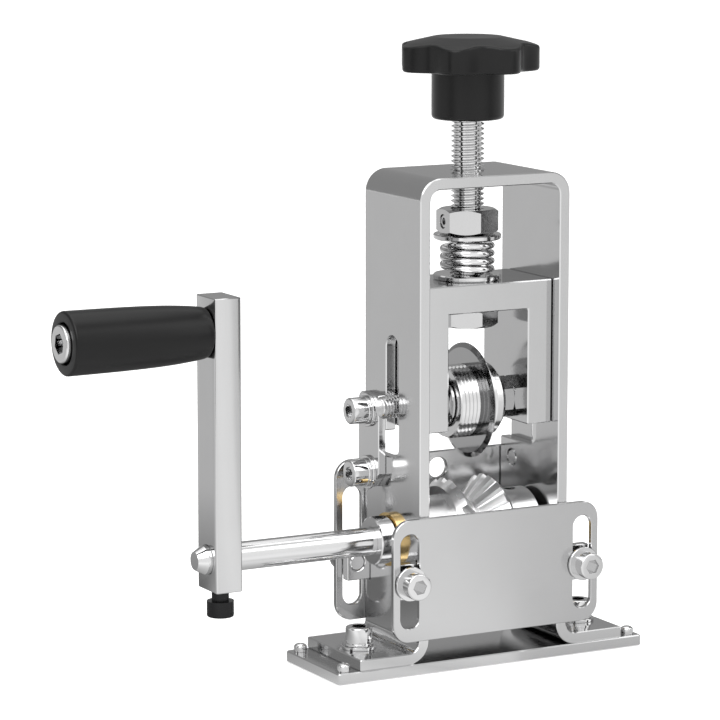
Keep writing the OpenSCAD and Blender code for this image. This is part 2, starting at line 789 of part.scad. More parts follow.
// The star knob: a lobed prism cut to a domed and rounded turned shape, over its round hub.
module adjuster_knob() color([0.13, 0.13, 0.14]) {
    r = knob_d / 2;
    z1 = knob_hub_h;
    z2 = z1 + knob_rim_h;
    z3 = z2 + knob_dome_h;
    steps = 14 * lobes;
    rise_share = 0.4;
    rise_place_share = 0.68;
    shoulder = (r - knob_flat_d / 2) * rise_place_share;
    difference() {
        translate([0, 0, knob_z0]) {
            turned(knob_hub_d, 0, knob_hub_h + over);
            intersection() {
                rotate_extrude()
                    polygon([[0, z1], [r - edge_break, z1], [r, z1 + edge_break], [r, z2 - edge_break],
                        [r - edge_break, z2],
                        [knob_flat_d / 2 + shoulder, z2 + knob_dome_h * rise_share],
                        [knob_flat_d / 2, z3], [0, z3]]);
                rotate(lobe_turn) linear_extrude(height = z3)
                    polygon([for (i = [0 : steps - 1])
                        let (a = i * 360 / steps, rr = r - lobe_depth * (1 - cos(lobes * a)) / 2)
                            [rr * cos(a), rr * sin(a)]]);
            }
        }
        translate([0, 0, knob_z0 - over]) cylinder(d = rod_d + 2 * fit_gap, h = knob_hub_h + over);
    }
}

module adjuster_rod() color([0.8, 0.81, 0.82]) {
    translate([0, 0, rod_z0]) turned(rod_d, 0, knob_z0 + knob_hub_h - fit_gap - rod_z0, rod_chamfer);
}

module stop_nut() color([0.72, 0.73, 0.75]) {
    difference() {
        translate([0, 0, stop_nut_z]) rotate(stop_nut_turn) hex_nut(rod_nut_af, rod_d + 2 * fit_gap, stop_nut_h);
        translate([0, 0, stop_nut_z + stop_nut_h / 2])
            rotate([0, -90, stop_nut_turn - 30])
                cylinder(d = set_screw_d + 2 * fit_gap, h = rod_nut_af);
    }
}

module stop_nut_set_screw() color([0.1, 0.1, 0.11]) {
    length = (rod_nut_af - rod_d) / 2 - edge_break - fit_gap;
    translate([0, 0, stop_nut_z + stop_nut_h / 2])
        rotate([0, -90, stop_nut_turn - 30])
            translate([0, 0, rod_nut_af / 2 - edge_break]) set_screw(length);
}

module rod_end_nut() color([0.72, 0.73, 0.75]) {
    translate([0, 0, window_z - end_nut_h - run_gap])
        rotate(30) hex_nut(rod_nut_af, rod_d + 2 * fit_gap, end_nut_h);
}

module upper_washer() color([0.78, 0.79, 0.8]) {
    translate([0, 0, upper_washer_z])
        turned(rod_washer_d, rod_d + 2 * fit_gap + run_gap, rod_washer_t);
}

module lower_washer() color([0.78, 0.79, 0.8]) {
    translate([0, 0, lower_washer_z])
        turned(rod_washer_d, rod_d + 2 * fit_gap + run_gap, rod_washer_t);
}

// The compression spring: one round wire, a tube of six sides with eight rings to a coil.
wire_r = wire_d / 2;
coil_r = coil_d / 2 - wire_r;
spring_rise = spring_z1 - spring_z0 - wire_d - 2 * fit_gap;
ring_sides = 6;
rings_per_coil = 8;
rings = round(coils * rings_per_coil);
function coil_point(i) =
    let (a = i * 360 / rings_per_coil)
        [coil_r * cos(a), coil_r * sin(a), spring_z0 + fit_gap + wire_r + spring_rise * i / rings];
function ring_point(i, j) =
    let (a = i * 360 / rings_per_coil, b = j * 360 / ring_sides, p = coil_point(i))
        p + wire_r * [cos(a) * cos(b), sin(a) * cos(b), sin(b)];
spring_points = [for (i = [0 : rings]) for (j = [0 : ring_sides - 1]) ring_point(i, j)];
spring_walls = [for (i = [0 : rings - 1]) for (j = [0 : ring_sides - 1])
    let (a = i * ring_sides + j, b = i * ring_sides + (j + 1) % ring_sides)
        each [[a, a + ring_sides, b + ring_sides], [a, b + ring_sides, b]]];
spring_start = [for (j = [1 : ring_sides - 2]) [0, j, j + 1]];
spring_end = [for (j = [1 : ring_sides - 2])
    [rings * ring_sides, rings * ring_sides + j + 1, rings * ring_sides + j]];
// The least gap between coils: centre distance, at least half a coil apart, less the wire.
spring_gap = min([for (i = [0 : rings]) for (k = [i + rings_per_coil / 2 : 1 : rings])
    norm(coil_point(i) - coil_point(k))]) - wire_d;
echo(spring_least_gap = spring_gap);

module spring() color([0.82, 0.83, 0.84]) {
    polyhedron(points = spring_points, faces = concat(spring_start, spring_walls, spring_end));
}

// The slider: an upside-down U that runs between the frame walls.
module slider_block() color([0.74, 0.75, 0.77]) {
    inner = slider_x - slider_t + run_gap;
    difference() {
        translate([0, 0, (slider_z0 + slider_z1) / 2])
            cube([2 * slider_x, slider_w, slider_z1 - slider_z0], center = true);
        translate([0, 0, (slider_z0 - over + window_z) / 2])
            cube([2 * inner, slider_w + 2 * over, window_z - slider_z0 + over], center = true);
        translate([0, 0, axle_z]) to_x()
            cylinder(d = axle_d + 2 * fit_gap, h = through, center = true);
        translate([0, 0, window_z - over])
            cylinder(d = rod_d + 2 * run_gap, h = slider_t + 2 * over);
    }
}

module blade_axle() color([0.8, 0.81, 0.82]) {
    r = axle_d / 2;
    rt = axle_tip_d / 2;
    l = 2 * axle_out;
    translate([-axle_out, 0, axle_z])
        to_x() rotate_extrude()
            polygon([[0, 0], [rt - edge_break, 0], [rt, edge_break], [rt, axle_tip_l],
                [r, axle_tip_l + r - rt], [r, l - axle_tip_l - r + rt], [rt, l - axle_tip_l],
                [rt, l - edge_break], [rt - edge_break, l], [0, l]]);
}

module axle_nuts() color([0.5, 0.51, 0.53]) {
    leg = slider_x - slider_t + run_gap;
    translate([-leg, 0, axle_z])
        to_x() hex_nut(axle_nut_af, axle_d + 2 * fit_gap, leg - left_nut_in);
    translate([right_nut_in, 0, axle_z])
        to_x() hex_nut(axle_nut_af, axle_d + 2 * fit_gap, leg - right_nut_in);
}

module axle_washer() color([0.75, 0.76, 0.78]) {
    translate([-left_nut_in, 0, axle_z])
        to_x() turned(axle_washer_d, axle_d + 2 * fit_gap, washer_t, edge_break / 2);
}

module cutting_disc() color([0.6, 0.61, 0.63]) {
    r = disc_d / 2;
    h = disc_t / 2;
    e = edge_t / 2;
    bore = axle_d / 2 + fit_gap;
    translate([0, 0, axle_z])
        to_x() rotate_extrude($fn = 128)
            polygon([[bore, -h], [r - bevel_w, -h], [r, -e], [r, e], [r - bevel_w, h], [bore, h]]);
}

// The outline of a row of ridges from distance a, n of them, outer radius r.
function ridges(r, a, n) = [for (i = [0 : n - 1]) for (s = [0, 1])
    [r - s * ridge_h, a + (i + s / 2) * ridge_pitch]];

module left_sleeve() color([0.82, 0.83, 0.84]) {
    n = floor(left_sleeve_l / ridge_pitch);
    r = sleeve_d / 2;
    bore = axle_d / 2 + fit_gap;
    mirror([1, 0, 0])
        translate([sleeve_x0, 0, axle_z])
            to_x() rotate_extrude()
                polygon(concat([[bore, 0], [r - ridge_h, 0]], ridges(r, ridge_pitch / 2, n),
                    [[r - ridge_h, left_sleeve_l], [bore, left_sleeve_l]]));
}

module right_sleeve() color([0.82, 0.83, 0.84]) {
    n = floor(right_sleeve_l / ridge_pitch / 2);
    r = sleeve_d / 2;
    re = sleeve_end_d / 2;
    bore = axle_d / 2 + fit_gap;
    translate([sleeve_x0, 0, axle_z])
        to_x() rotate_extrude()
            polygon(concat([[bore, 0], [r - ridge_h, 0]], ridges(r, ridge_pitch / 2, n),
                [[r, (n + 1) * ridge_pitch], [r, right_sleeve_l - (r - re)],
                    [re, right_sleeve_l], [bore, right_sleeve_l]]));
}

base_plate();
base_screws();
frame();
foot_screws();
foot_washers();
foot_spring_washers();
plate_lugs();
front_guide_plate();
rear_guide_plate();
guide_screws();
guide_washers();
left_keeper_plate();
right_keeper_plate();
keeper_screws();
keeper_washers();
keeper_spring_washers();
left_bush();
right_bush();
crank_shaft();
crank_arm();
arm_clamp_screw();
handle_bolt();
handle_grip();
left_feed_wheel();
right_feed_wheel();
feed_wheel_set_screws();
shaft_collar();
collar_set_screw();
adjuster_knob();
adjuster_rod();
stop_nut();
stop_nut_set_screw();
rod_end_nut();
upper_washer();
spring();
lower_washer();
slider_block();
blade_axle();
axle_nuts();
axle_washer();
cutting_disc();
left_sleeve();
right_sleeve();
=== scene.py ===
import json
import math

import bmesh
import bpy
import numpy as np
from mathutils import Matrix, Vector

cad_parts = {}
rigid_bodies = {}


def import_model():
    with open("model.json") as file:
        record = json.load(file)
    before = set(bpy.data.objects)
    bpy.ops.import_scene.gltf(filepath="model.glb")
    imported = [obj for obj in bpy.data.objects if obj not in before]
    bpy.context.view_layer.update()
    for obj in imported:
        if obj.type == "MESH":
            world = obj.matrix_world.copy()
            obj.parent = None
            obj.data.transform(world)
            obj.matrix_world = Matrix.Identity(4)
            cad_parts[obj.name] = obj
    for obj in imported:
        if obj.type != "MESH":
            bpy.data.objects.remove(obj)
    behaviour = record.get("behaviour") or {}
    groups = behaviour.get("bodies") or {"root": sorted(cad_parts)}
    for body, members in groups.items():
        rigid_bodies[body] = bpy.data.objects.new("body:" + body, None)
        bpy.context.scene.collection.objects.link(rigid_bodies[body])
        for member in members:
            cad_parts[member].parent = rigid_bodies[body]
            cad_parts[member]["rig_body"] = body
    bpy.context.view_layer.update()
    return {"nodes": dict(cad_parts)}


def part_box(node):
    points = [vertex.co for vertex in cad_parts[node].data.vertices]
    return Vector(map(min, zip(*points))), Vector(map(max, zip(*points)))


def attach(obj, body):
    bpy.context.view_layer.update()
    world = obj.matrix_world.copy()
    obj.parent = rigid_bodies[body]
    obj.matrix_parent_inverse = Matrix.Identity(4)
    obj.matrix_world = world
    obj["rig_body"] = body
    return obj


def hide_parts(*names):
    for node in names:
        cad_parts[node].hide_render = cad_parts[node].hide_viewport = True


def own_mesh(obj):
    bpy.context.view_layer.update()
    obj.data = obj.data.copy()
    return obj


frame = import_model()
scene = bpy.context.scene


# Frame strap
# One steel strap, 4 mm thick and 40 mm wide, bent into an upside-down U with two feet, ground along
# its length and polished. Its cut edges are broken all round and catch the light.
class Wire:
    """A socket of a node tree that is added, multiplied and so on like a number. Without a socket it
    only makes nodes."""

    def __init__(self, tree, socket=None):
        self.tree = tree
        self.socket = socket

    def node(self, kind, inputs=None, out=0, stops=(), **settings):
        """Makes a node, sets it, feeds its inputs and gives back one of its outputs. The stops are a
        ramp's (place, grey) pairs in their order."""
        made = self.tree.nodes.new(kind)
        for key, value in settings.items():
            setattr(made, key, value)
        if stops:
            points = made.color_ramp.elements
            while len(points) < len(stops):
                points.new(0.5)
            for point, (place, grey) in zip(points, stops):
                point.position = place
                point.color = (grey, grey, grey, 1)
        for key, value in (inputs or {}).items():
            if isinstance(value, Wire):
                self.tree.links.new(value.socket, made.inputs[key])
            else:
                made.inputs[key].default_value = value
        return Wire(self.tree, made.outputs[out])

    def part(self, out):
        """Another output of the same node."""
        return Wire(self.tree, self.socket.node.outputs[out])

    def feeds(self, shader, name):
        """Links the socket to a shader's input."""
        self.tree.links.new(self.socket, shader.inputs[name])

    def between(self, dark, bright):
        """A colour that goes from dark to bright while the socket goes from 0 to 1."""
        return self.node("ShaderNodeMix", {0: self, 6: dark, 7: bright}, out=2, data_type="RGBA")

    def maths(self, operation, a, b):
        """A Math node on two sockets or numbers."""
        return self.node("ShaderNodeMath", {0: a, 1: b}, operation=operation)

    def __add__(self, other):
        return self.maths("ADD", self, other)

    def __radd__(self, other):
        return self.maths("ADD", other, self)

    def __sub__(self, other):
        return self.maths("SUBTRACT", self, other)

    def __rsub__(self, other):
        return self.maths("SUBTRACT", other, self)

    def __mul__(self, other):
        return self.maths("MULTIPLY", self, other)

    def __rmul__(self, other):
        return self.maths("MULTIPLY", other, self)

    def __pow__(self, other):
        return self.maths("POWER", self, other)

    def __rpow__(self, other):
        return self.maths("POWER", other, self)


def blank(name):
    """A new material and its shader."""
    material = bpy.data.materials.new(name)
    material.use_nodes = True
    return material, material.node_tree.nodes["Principled BSDF"]


def steel(name, tint, roughness, lines, line_depth=0.000006, metallic=1.0):
    """Metal whose fine lines follow a pattern. lines takes the object coordinates and gives the
    coordinates that the line noise is read at."""
    material, shader = blank(name)
    shader.inputs["Metallic"].default_value = metallic
    here = Wire(material.node_tree).node("ShaderNodeTexCoord", out="Object")
    grain = here.node("ShaderNodeTexNoise", {"Vector": lines(here), "Scale": 1.0, "Detail": 2.0})
    cloud = here.node(
        "ShaderNodeTexNoise",
        {"Vector": here, "Scale": 70.0, "Detail": 5.0, "Roughness": 0.6},
    )
    dark = [c * 0.95 for c in tint] + [1.0]
    bright = [min(1.0, c * 1.04) for c in tint] + [1.0]
    (cloud * 0.7 + grain * 0.3).between(dark, bright).feeds(shader, "Base Color")
    uneven = 0.05
    (roughness + (cloud - 0.5) * uneven + (grain - 0.5) * uneven).feeds(shader, "Roughness")
    scratched = here.node(
        "ShaderNodeBump", {"Height": grain, "Strength": 0.25, "Distance": line_depth}
    )
    scratched.feeds(shader, "Normal")
    return material


def straight(along_x, along_y, along_z):
    """Lines of these lengths in metres along each axis: long in one, fine in the others."""
    return lambda here: here.node(
        "ShaderNodeMapping",
        {"Vector": here, "Scale": (1 / along_x, 1 / along_y, 1 / along_z)},
    )


def placed(name, bm):
    """Puts a bmesh into the scene as an object and frees it."""
    mesh = bpy.data.meshes.new(name)
    bm.to_mesh(mesh)
    bm.free()
    piece = bpy.data.objects.new(name, mesh)
    scene.collection.objects.link(piece)
    return piece


def finished(name, bm, material, body, nodes, sharp=30):
    """Turns a bmesh into an object that rides on a body and stands for CAD nodes. Edges sharper than
    the angle in degrees stay crisp."""
    bmesh.ops.recalc_face_normals(bm, faces=bm.faces)
    piece = placed(name, bm)
    mesh = piece.data
    if "custom_normal" in mesh.attributes:
        mesh.attributes.remove(mesh.attributes["custom_normal"])
    mesh.polygons.foreach_set("use_smooth", [True] * len(mesh.polygons))
    mesh.set_sharp_from_angle(angle=math.radians(sharp))
    mesh.materials.clear()
    mesh.materials.append(material)
    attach(piece, body)
    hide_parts(*nodes)
    return piece


# Vertices that lie nearer to each other than this are one.
same_place = 1e-6


def edged(node, width, material):
    """The look of a CAD node with all its sharp edges chamfered by width."""
    source = frame["nodes"][node]
    flat, sharp = math.radians(0.5), math.radians(28)
    bm = bmesh.new()
    bm.from_mesh(source.data)
    bmesh.ops.remove_doubles(bm, verts=bm.verts, dist=same_place)
    bmesh.ops.dissolve_limit(bm, angle_limit=flat, verts=bm.verts, edges=bm.edges)
    edges = [e for e in bm.edges if len(e.link_faces) == 2 and e.calc_face_angle() > sharp]
    bmesh.ops.bevel(
        bm,
        geom=edges,
        offset=width,
        offset_type="OFFSET",
        segments=1,
        profile=0.5,
        affect="EDGES",
        clamp_overlap=False,
    )
    finished(node + "_look", bm, material, source["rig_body"], [node])


strap_steel = steel(
    "strap_steel",
    tint=(0.6, 0.6, 0.602),
    roughness=0.13,
    lines=straight(0.0004, 0.0004, 0.02),
)
edged("frame", 0.00035, strap_steel)


# Base plate and its corner screws
# A flat ground steel plate with rounded corners. Each corner has a small pan head screw with a cross
# recess, driven by hand, so no two crosses point the same way.
base_steel = steel(
    "base_steel",
    tint=(0.61, 0.61, 0.612),
    roughness=0.15,
    lines=straight(0.02, 0.0004, 0.0004),
)
edged("base_plate", 0.0004, base_steel)

screw_steel = steel(
    "screw_steel",
    tint=(0.66, 0.66, 0.662),
    roughness=0.09,
    lines=straight(0.0008, 0.0008, 0.0008),
    line_depth=0.0000006,
)


def turned(profile, segments, axis="Z", at=(0.0, 0.0, 0.0)):
    """A bmesh of the profile's (radius, distance) points turned round an axis through at."""
    bm = bmesh.new()
    rings = []
    for radius, along in profile:
        count = 1 if radius < 1e-9 else segments
        ring = []
        for k in range(count):
            angle = 2 * math.pi * k / segments
            u, v = radius * math.cos(angle), radius * math.sin(angle)
            place = (along, u, v) if axis == "X" else (u, v, along)
            ring.append(bm.verts.new(Vector(place) + Vector(at)))
        rings.append(ring)
    for a, b in zip(rings, rings[1:]):
        for k in range(segments):
            corners = [
                a[k % len(a)],
                a[(k + 1) % len(a)],
                b[(k + 1) % len(b)],
                b[k % len(b)],
            ]
            corners = list(dict.fromkeys(corners))
            if len(corners) > 2:
                bm.faces.new(corners)
    return bm


def baked(piece):
    """The plain mesh that an object's modifiers give. The modifiers are then removed."""
    graph = bpy.context.evaluated_depsgraph_get()
    mesh = bpy.data.meshes.new_from_object(piece.evaluated_get(graph))
    piece.modifiers.clear()
    return mesh


pan_r, pan_h = 0.0023, 0.003


def cross_head():
    """One pan head with its cross recess, standing on z = 0."""
    foot_edge, side_share = 0.0001, 0.6
    dome = [(0.0, 0.0), (pan_r - foot_edge, 0.0), (pan_r, foot_edge), (pan_r, pan_h * side_share)]
    for t in range(1, 8):
        turn = t * math.pi / 16
        rise = side_share + (1 - side_share) * math.sin(turn)
        dome.append((pan_r * math.cos(turn), pan_h * rise))
    dome.append((0.0, pan_h))
    bm = turned(dome, 40)
    bmesh.ops.recalc_face_normals(bm, faces=bm.faces)
    head = placed("cross_head", bm)
    slot_l, slot_w, slot_d, bottom_share = 0.0026, 0.00055, 0.0018, 0.55
    cut = bmesh.new()
    for size in ((slot_l, slot_w, slot_d), (slot_w, slot_l, slot_d)):
        made = bmesh.ops.create_cube(cut, size=1.0)["verts"]
        bmesh.ops.scale(cut, vec=size, verts=made)
        bmesh.ops.translate(cut, vec=(0, 0, pan_h), verts=made)
        for v in made:
            if v.co.z < pan_h:
                v.co.x *= bottom_share
                v.co.y *= bottom_share
    cutter = placed("cross_cut", cut)
    cross = head.modifiers.new("cross", "BOOLEAN")
    cross.operation = "DIFFERENCE"
    cross.solver = "EXACT"
    cross.use_self = True
    cross.object = cutter
    head.data = baked(head)
    bpy.data.objects.remove(cutter)
    return head


def grown(name, tree_inputs, build, material, body, nodes):
    """A piece grown by a Geometry Nodes tree and baked. tree_inputs holds each named input's kind and
    value, and build makes the shape from the inputs."""
    tree = bpy.data.node_groups.new(name, "GeometryNodeTree")
    for label, (kind, value) in tree_inputs.items():
        tree.interface.new_socket(label, in_out="INPUT", socket_type=kind)
    tree.interface.new_socket("Geometry", in_out="OUTPUT", socket_type="NodeSocketGeometry")
    shape = build(Wire(tree).node("NodeGroupInput"))
    shape = shape.node("GeometryNodeRealizeInstances", {0: shape})
    shape = shape.node("GeometryNodeSetMaterial", {"Geometry": shape, "Material": material})
    end = tree.nodes.new("NodeGroupOutput")
    tree.links.new(shape.socket, end.inputs[0])
    holder = placed(name, bmesh.new())
    modifier = holder.modifiers.new(name, "NODES")
    modifier.node_group = tree
    for item in tree.interface.items_tree:
        if item.in_out == "INPUT":
            modifier[item.identifier] = tree_inputs[item.name][1]
    bm = bmesh.new()
    bm.from_mesh(baked(holder))
    bpy.data.objects.remove(holder)
    return finished(name, bm, material, body, nodes)


def shape_of(given, label):
    """The shape of the object that a named input holds."""
    return given.node("GeometryNodeObjectInfo", {"Object": given.part(label)}, out="Geometry")


def lifted(shape, height):
    """A shape moved up by a height."""
    move = shape.node("ShaderNodeCombineXYZ", {2: height})
    return shape.node("GeometryNodeTransform", {"Geometry": shape, "Translation": move})


full_turn = 6.283


def any_turn(given, seed):
    """A turn round z, drawn anew for each place."""
    return given.node(
        "FunctionNodeRandomValue",
        {0: (0.0, 0.0, 0.0), 1: (0.0, 0.0, full_turn), "Seed": seed},
        data_type="FLOAT_VECTOR",
    )


def corner_screws(given):
    """A screw on each corner of a rectangle, each with its own turn."""
    corners = given.node(
        "GeometryNodeMeshGrid",
        {
            "Size X": given.part("Spacing X"),
            "Size Y": given.part("Spacing Y"),
            "Vertices X": 2,
            "Vertices Y": 2,
        },
    )
    screws = given.node(
        "GeometryNodeInstanceOnPoints",
        {
            "Points": corners,
            "Instance": shape_of(given, "Screw"),
            "Rotation": any_turn(given, 7),
        },
    )
    return lifted(screws, given.part("Height"))


low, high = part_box("base_screws")
cross_screw = cross_head()
grown(
    "corner_screw_heads",
    {
        "Spacing X": ("NodeSocketFloat", high.x - low.x - 2 * pan_r),
        "Spacing Y": ("NodeSocketFloat", high.y - low.y - 2 * pan_r),
        "Height": ("NodeSocketFloat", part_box("base_plate")[1].z),
        "Screw": ("NodeSocketObject", cross_screw),
    },
    corner_screws,
    screw_steel,
    "frame_body",
    ["base_screws"],
)
bpy.data.objects.remove(cross_screw)


# Guide plates, lugs and keeper plates
# Thin steel plates, cut from sheet and ground. The two guide plates slide up and down behind their
# screws, the lugs are let into the wall edges, and the keeper plates close the axle slots' gates.
plate_steel = steel(
    "plate_steel",
    tint=(0.53, 0.53, 0.532),
    roughness=0.17,
    lines=straight(0.03, 0.0004, 0.0005),
)
for node in ("front_guide_plate", "rear_guide_plate"):
    edged(node, 0.00025, plate_steel)
for node in ("plate_lugs", "left_keeper_plate", "right_keeper_plate"):
    edged(node, 0.0003, strap_steel)


# Slider block and crank arm
# Machined steel blocks, ground along their length. The slider is an upside-down U that runs between
# the walls, and the arm is a square bar that is clamped on the crank shaft.
block_steel = steel(
    "block_steel",
    tint=(0.58, 0.58, 0.582),
    roughness=0.12,
    lines=straight(0.0005, 0.0005, 0.015),
)
edged("slider_block", 0.0004, block_steel)
edged("crank_arm", 0.0003, block_steel)


# Screws, washers and nuts
# Bright steel socket head screws on washers hold the frame, the guide plates and the keeper plates,
# and hexagon nuts sit on the rod and the axle. The arm's clamp screw and the small screws in the
# wheels and the collar are blackened.
nut_steel = steel(
    "nut_steel",
    tint=(0.6, 0.6, 0.602),
    roughness=0.13,
    lines=straight(0.0008, 0.0008, 0.0008),
    line_depth=0.000001,
)
black_steel = steel(
    "black_steel",
    tint=(0.014, 0.014, 0.0145),
    roughness=0.27,
    lines=straight(0.0005, 0.0005, 0.0005),
    metallic=0.7,
)


def paint(material, *nodes):
    """Gives CAD nodes that show as they are a material."""
    for node in nodes:
        mesh = frame["nodes"][node].data
        mesh.materials.clear()
        mesh.materials.append(material)


paint(screw_steel, "foot_spring_washers", "keeper_spring_washers", "axle_washer")
paint(nut_steel, "stop_nut", "stop_nut_set_screw", "rod_end_nut", "axle_nuts")
paint(black_steel, "feed_wheel_set_screws", "collar_set_screw")


def ends_of(points):
    """The lowest and the highest place of a solid's points."""
    places = [place for place, radius in points]
    return min(places), max(places)


def solids_of(node, axis):
    """The round solids of a CAD node in a fixed order: each one's centre, and its points as (place,
    radius)."""
    bm = bmesh.new()
    bm.from_mesh(frame["nodes"][node].data)
    bmesh.ops.remove_doubles(bm, verts=bm.verts, dist=same_place)
    left = set(bm.verts)
    found = []
    while left:
        solid, queue = [], [left.pop()]
        while queue:
            v = queue.pop()
            solid.append(v.co.copy())
            near = {e.other_vert(v) for e in v.link_edges} & left
            left -= near
            queue += near
        low = Vector([min(co[i] for co in solid) for i in range(3)])
        high = Vector([max(co[i] for co in solid) for i in range(3)])
        centre = (low + high) / 2
        centre[axis] = 0.0
        points = []
        for co in solid:
            away = co - centre
            place, away[axis] = away[axis], 0.0
            points.append((place, away.length))
        found.append((centre, points))
    bm.free()
    return sorted(found, key=lambda solid: (tuple(solid[0]), ends_of(solid[1])))


def quarter(radius, steps=4):
    """The points of a quarter round, as pairs that go from (0, radius) to (radius, 0)."""
    turns = [t * math.pi / (2 * steps) for t in range(steps + 1)]
    return [(radius * (1 - math.cos(turn)), radius * (1 - math.sin(turn))) for turn in turns]


def skin(bm, rings, closed=False):
    """Faces between neighbouring rings. The end rings are filled, or joined where it is closed."""
    pairs = list(zip(rings, rings[1:]))
    if closed:
        pairs.append((rings[-1], rings[0]))
    else:
        bm.faces.new(rings[0])
        bm.faces.new(rings[-1])
    for a, b in pairs:
        for k in range(len(a)):
            j = (k + 1) % len(a)
            bm.faces.new((a[k], a[j], b[j], b[k]))


def ringed(profile, socket=(), closed=False, segments=48):
    """A bmesh of circles along +Z, given as (radius, place), and of a socket's hexagons after them."""
    bm = bmesh.new()
    sixth = math.pi / 3
    rings = []
    for radius, place in [*profile, *socket]:
        hexagon = len(rings) >= len(profile)
        ring = []
        for k in range(segments):
            angle = 2 * math.pi * k / segments
            r = radius
            if hexagon:
                r /= math.cos((angle + sixth / 2) % sixth - sixth / 2)
            ring.append(bm.verts.new((r * math.cos(angle), r * math.sin(angle), place)))
        rings.append(ring)
    skin(bm, rings, closed)
    bmesh.ops.recalc_face_normals(bm, faces=bm.faces)
    return bm


def fasteners(given):
    """One fastener on each place, along the place's own direction and turned at random."""
    aim = given.node(
        "GeometryNodeInputNamedAttribute", {"Name": "aim"}, data_type="FLOAT_VECTOR"
    )
    facing = given.node("FunctionNodeAlignRotationToVector", {"Vector": aim}, axis="Z")
    facing = given.node(
        "FunctionNodeRotateRotation",
        {"Rotation": facing, "Rotate By": any_turn(given, 3)},
        rotation_space="LOCAL",
    )
    return given.node(
        "GeometryNodeInstanceOnPoints",
        {
            "Points": shape_of(given, "Places"),
            "Instance": shape_of(given, "Fastener"),
            "Rotation": facing,
        },
    )


def repeated(node, bm, places, material):
    """Sets a fastener, made along +Z, on a node's (place, aim) pairs in the node's stead."""
    one = placed(node + "_one", bm)
    spots = bpy.data.meshes.new(node + "_places")
    spots.from_pydata([place for place, aim in places], [], [])
    aims = spots.attributes.new("aim", "FLOAT_VECTOR", "POINT")
    aims.data.foreach_set("vector", [share for place, aim in places for share in aim])
    holder = bpy.data.objects.new(node + "_places", spots)
    scene.collection.objects.link(holder)
    tree_inputs = {
        "Fastener": ("NodeSocketObject", one),
        "Places": ("NodeSocketObject", holder),
    }
    body = frame["nodes"][node]["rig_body"]
    grown(node + "_look", tree_inputs, fasteners, material, body, [node])
    bpy.data.objects.remove(one)
    bpy.data.objects.remove(holder)


def socket_screws(node, axis, material):
    """Socket head screws with a rounded rim, each with its hexagon turned its own way. The screws of
    a node are alike, so the sizes read from the last one serve them all."""
    places = []
    for centre, points in solids_of(node, axis):
        head_r = max(radius for place, radius in points)
        head = [place for place, radius in points if radius > 0.9 * head_r]
        ends = ends_of(points)
        way = 1 if sum(head) / len(head) > sum(ends) / 2 else -1
        tip, top = sorted(way * end for end in ends)
        seat = min(way * place for place in head)
        below = seat - 0.0001
        shank_r = max(radius for place, radius in points if way * place < below)
        aim = Vector()
        aim[axis] = way
        places.append((centre + aim * seat, aim))
    tip, top = tip - seat, top - seat
    tip_edge, rim = 0.0005, 0.0006
    key_r, key_depth = 0.5 * head_r, 0.85 * head_r
    profile = [(shank_r - tip_edge, tip), (shank_r, tip + tip_edge), (shank_r, 0.0), (head_r, 0.0)]
    profile += [(head_r - inset, top - drop) for inset, drop in quarter(rim)]
    socket = [(key_r, top), (key_r, top - key_depth)]
    repeated(node, ringed(profile, socket), places, material)


def washers(node, axis, material):
    """Flat washers with broken edges, all alike in one node."""
    places = []
    aim = Vector()
    aim[axis] = 1.0
    for centre, points in solids_of(node, axis):
        low, high = ends_of(points)
        places.append((centre + aim * low, aim))
    inner = min(radius for place, radius in points)
    outer = max(radius for place, radius in points)
    edge, thick = 0.00015, high - low
    profile = [
        (outer, edge),
        (outer, thick - edge),
        (outer - edge, thick),
        (inner + edge, thick),
        (inner, thick - edge),
        (inner, edge),
        (inner + edge, 0.0),
        (outer - edge, 0.0),
    ]
    repeated(node, ringed(profile, closed=True), places, material)


x_axis, y_axis, z_axis = 0, 1, 2
for node, axis in (
    ("foot_screws", z_axis),
    ("guide_screws", y_axis),
    ("keeper_screws", x_axis),
    ("handle_bolt", x_axis),
):
    socket_screws(node, axis, screw_steel)
socket_screws("arm_clamp_screw", z_axis, black_steel)
for node, axis in (
    ("foot_washers", z_axis),
    ("guide_washers", y_axis),
    ("keeper_washers", x_axis),
):
    washers(node, axis, screw_steel)


# Crank shaft, collar, bushes and feed wheels
# Turned pieces on the crank axis: a polished steel shaft with its collar, brass bushes in the walls,
# and a mirror pair of bright steel wheels whose toothed cones form a V that pulls the wire.
def round_x(axis_z, fine):
    """Turning lines round an axis along x at a height. fine is the lines' number in a metre."""

    def lines(here):
        xyz = here.node("ShaderNodeSeparateXYZ", {0: here})
        up = xyz.part(2) - axis_z
        away = (xyz.part(1) * xyz.part(1) + up * up) ** 0.5
        return here.node("ShaderNodeCombineXYZ", {0: xyz * fine, 1: away * fine})

    return lines


low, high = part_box("crank_shaft")
crank_z = (low.z + high.z) / 2
shaft_steel = steel(
    "shaft_steel",
    tint=(0.68, 0.68, 0.682),
    roughness=0.12,
    lines=round_x(crank_z, 1600),
)
wheel_steel = steel(
    "wheel_steel",
    tint=(0.85, 0.85, 0.852),
    roughness=0.3,
    lines=round_x(crank_z, 1300),
    line_depth=0.000003,
)
brass = steel("brass", tint=(0.82, 0.6, 0.28), roughness=0.2, lines=round_x(crank_z, 1400))
paint(shaft_steel, "crank_shaft", "shaft_collar")
paint(brass, "left_bush", "right_bush")
paint(wheel_steel, "left_feed_wheel", "right_feed_wheel")


